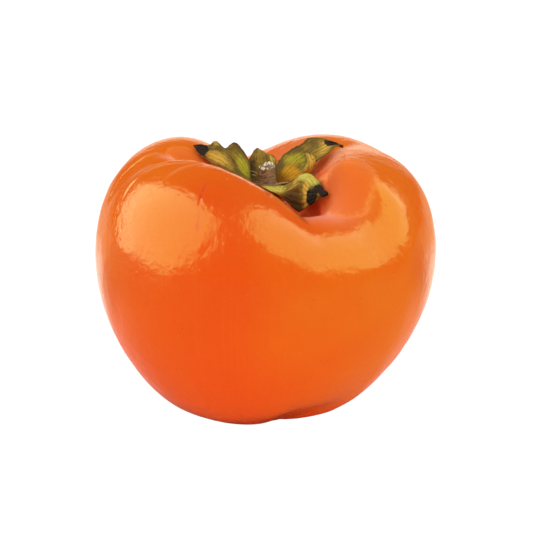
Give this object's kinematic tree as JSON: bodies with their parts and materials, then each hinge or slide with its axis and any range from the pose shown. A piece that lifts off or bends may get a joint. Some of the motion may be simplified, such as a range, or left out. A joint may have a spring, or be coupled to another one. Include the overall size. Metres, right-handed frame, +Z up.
{
  "type": "persimmon",
  "caption": "Ripe lobed persimmon fruit with its dried leafy calyx and a short broken stub of stem, standing on its blossom end.",
  "frame": {"origin": "middle of the fruit's outline seen from above, at the level of the flat resting spot on its blossom end", "axes": "+Z up along the stem, -Y towards the side with the deepest furrow's lip, +X to the right of that side"},
  "size_m": [0.0816, 0.0804, 0.0676],
  "materials": {
    "fruit_skin": "glossy waxy orange fruit skin",
    "calyx_leaf": "dry leathery leaf, green to tan with black tips",
    "stem_bark": "rough brown bark with a pale torn end"
  },
  "bodies": {
    "root": {"fruit": "fruit_skin", "calyx": "calyx_leaf", "stem": "stem_bark"}
  },
  "joints": []
}
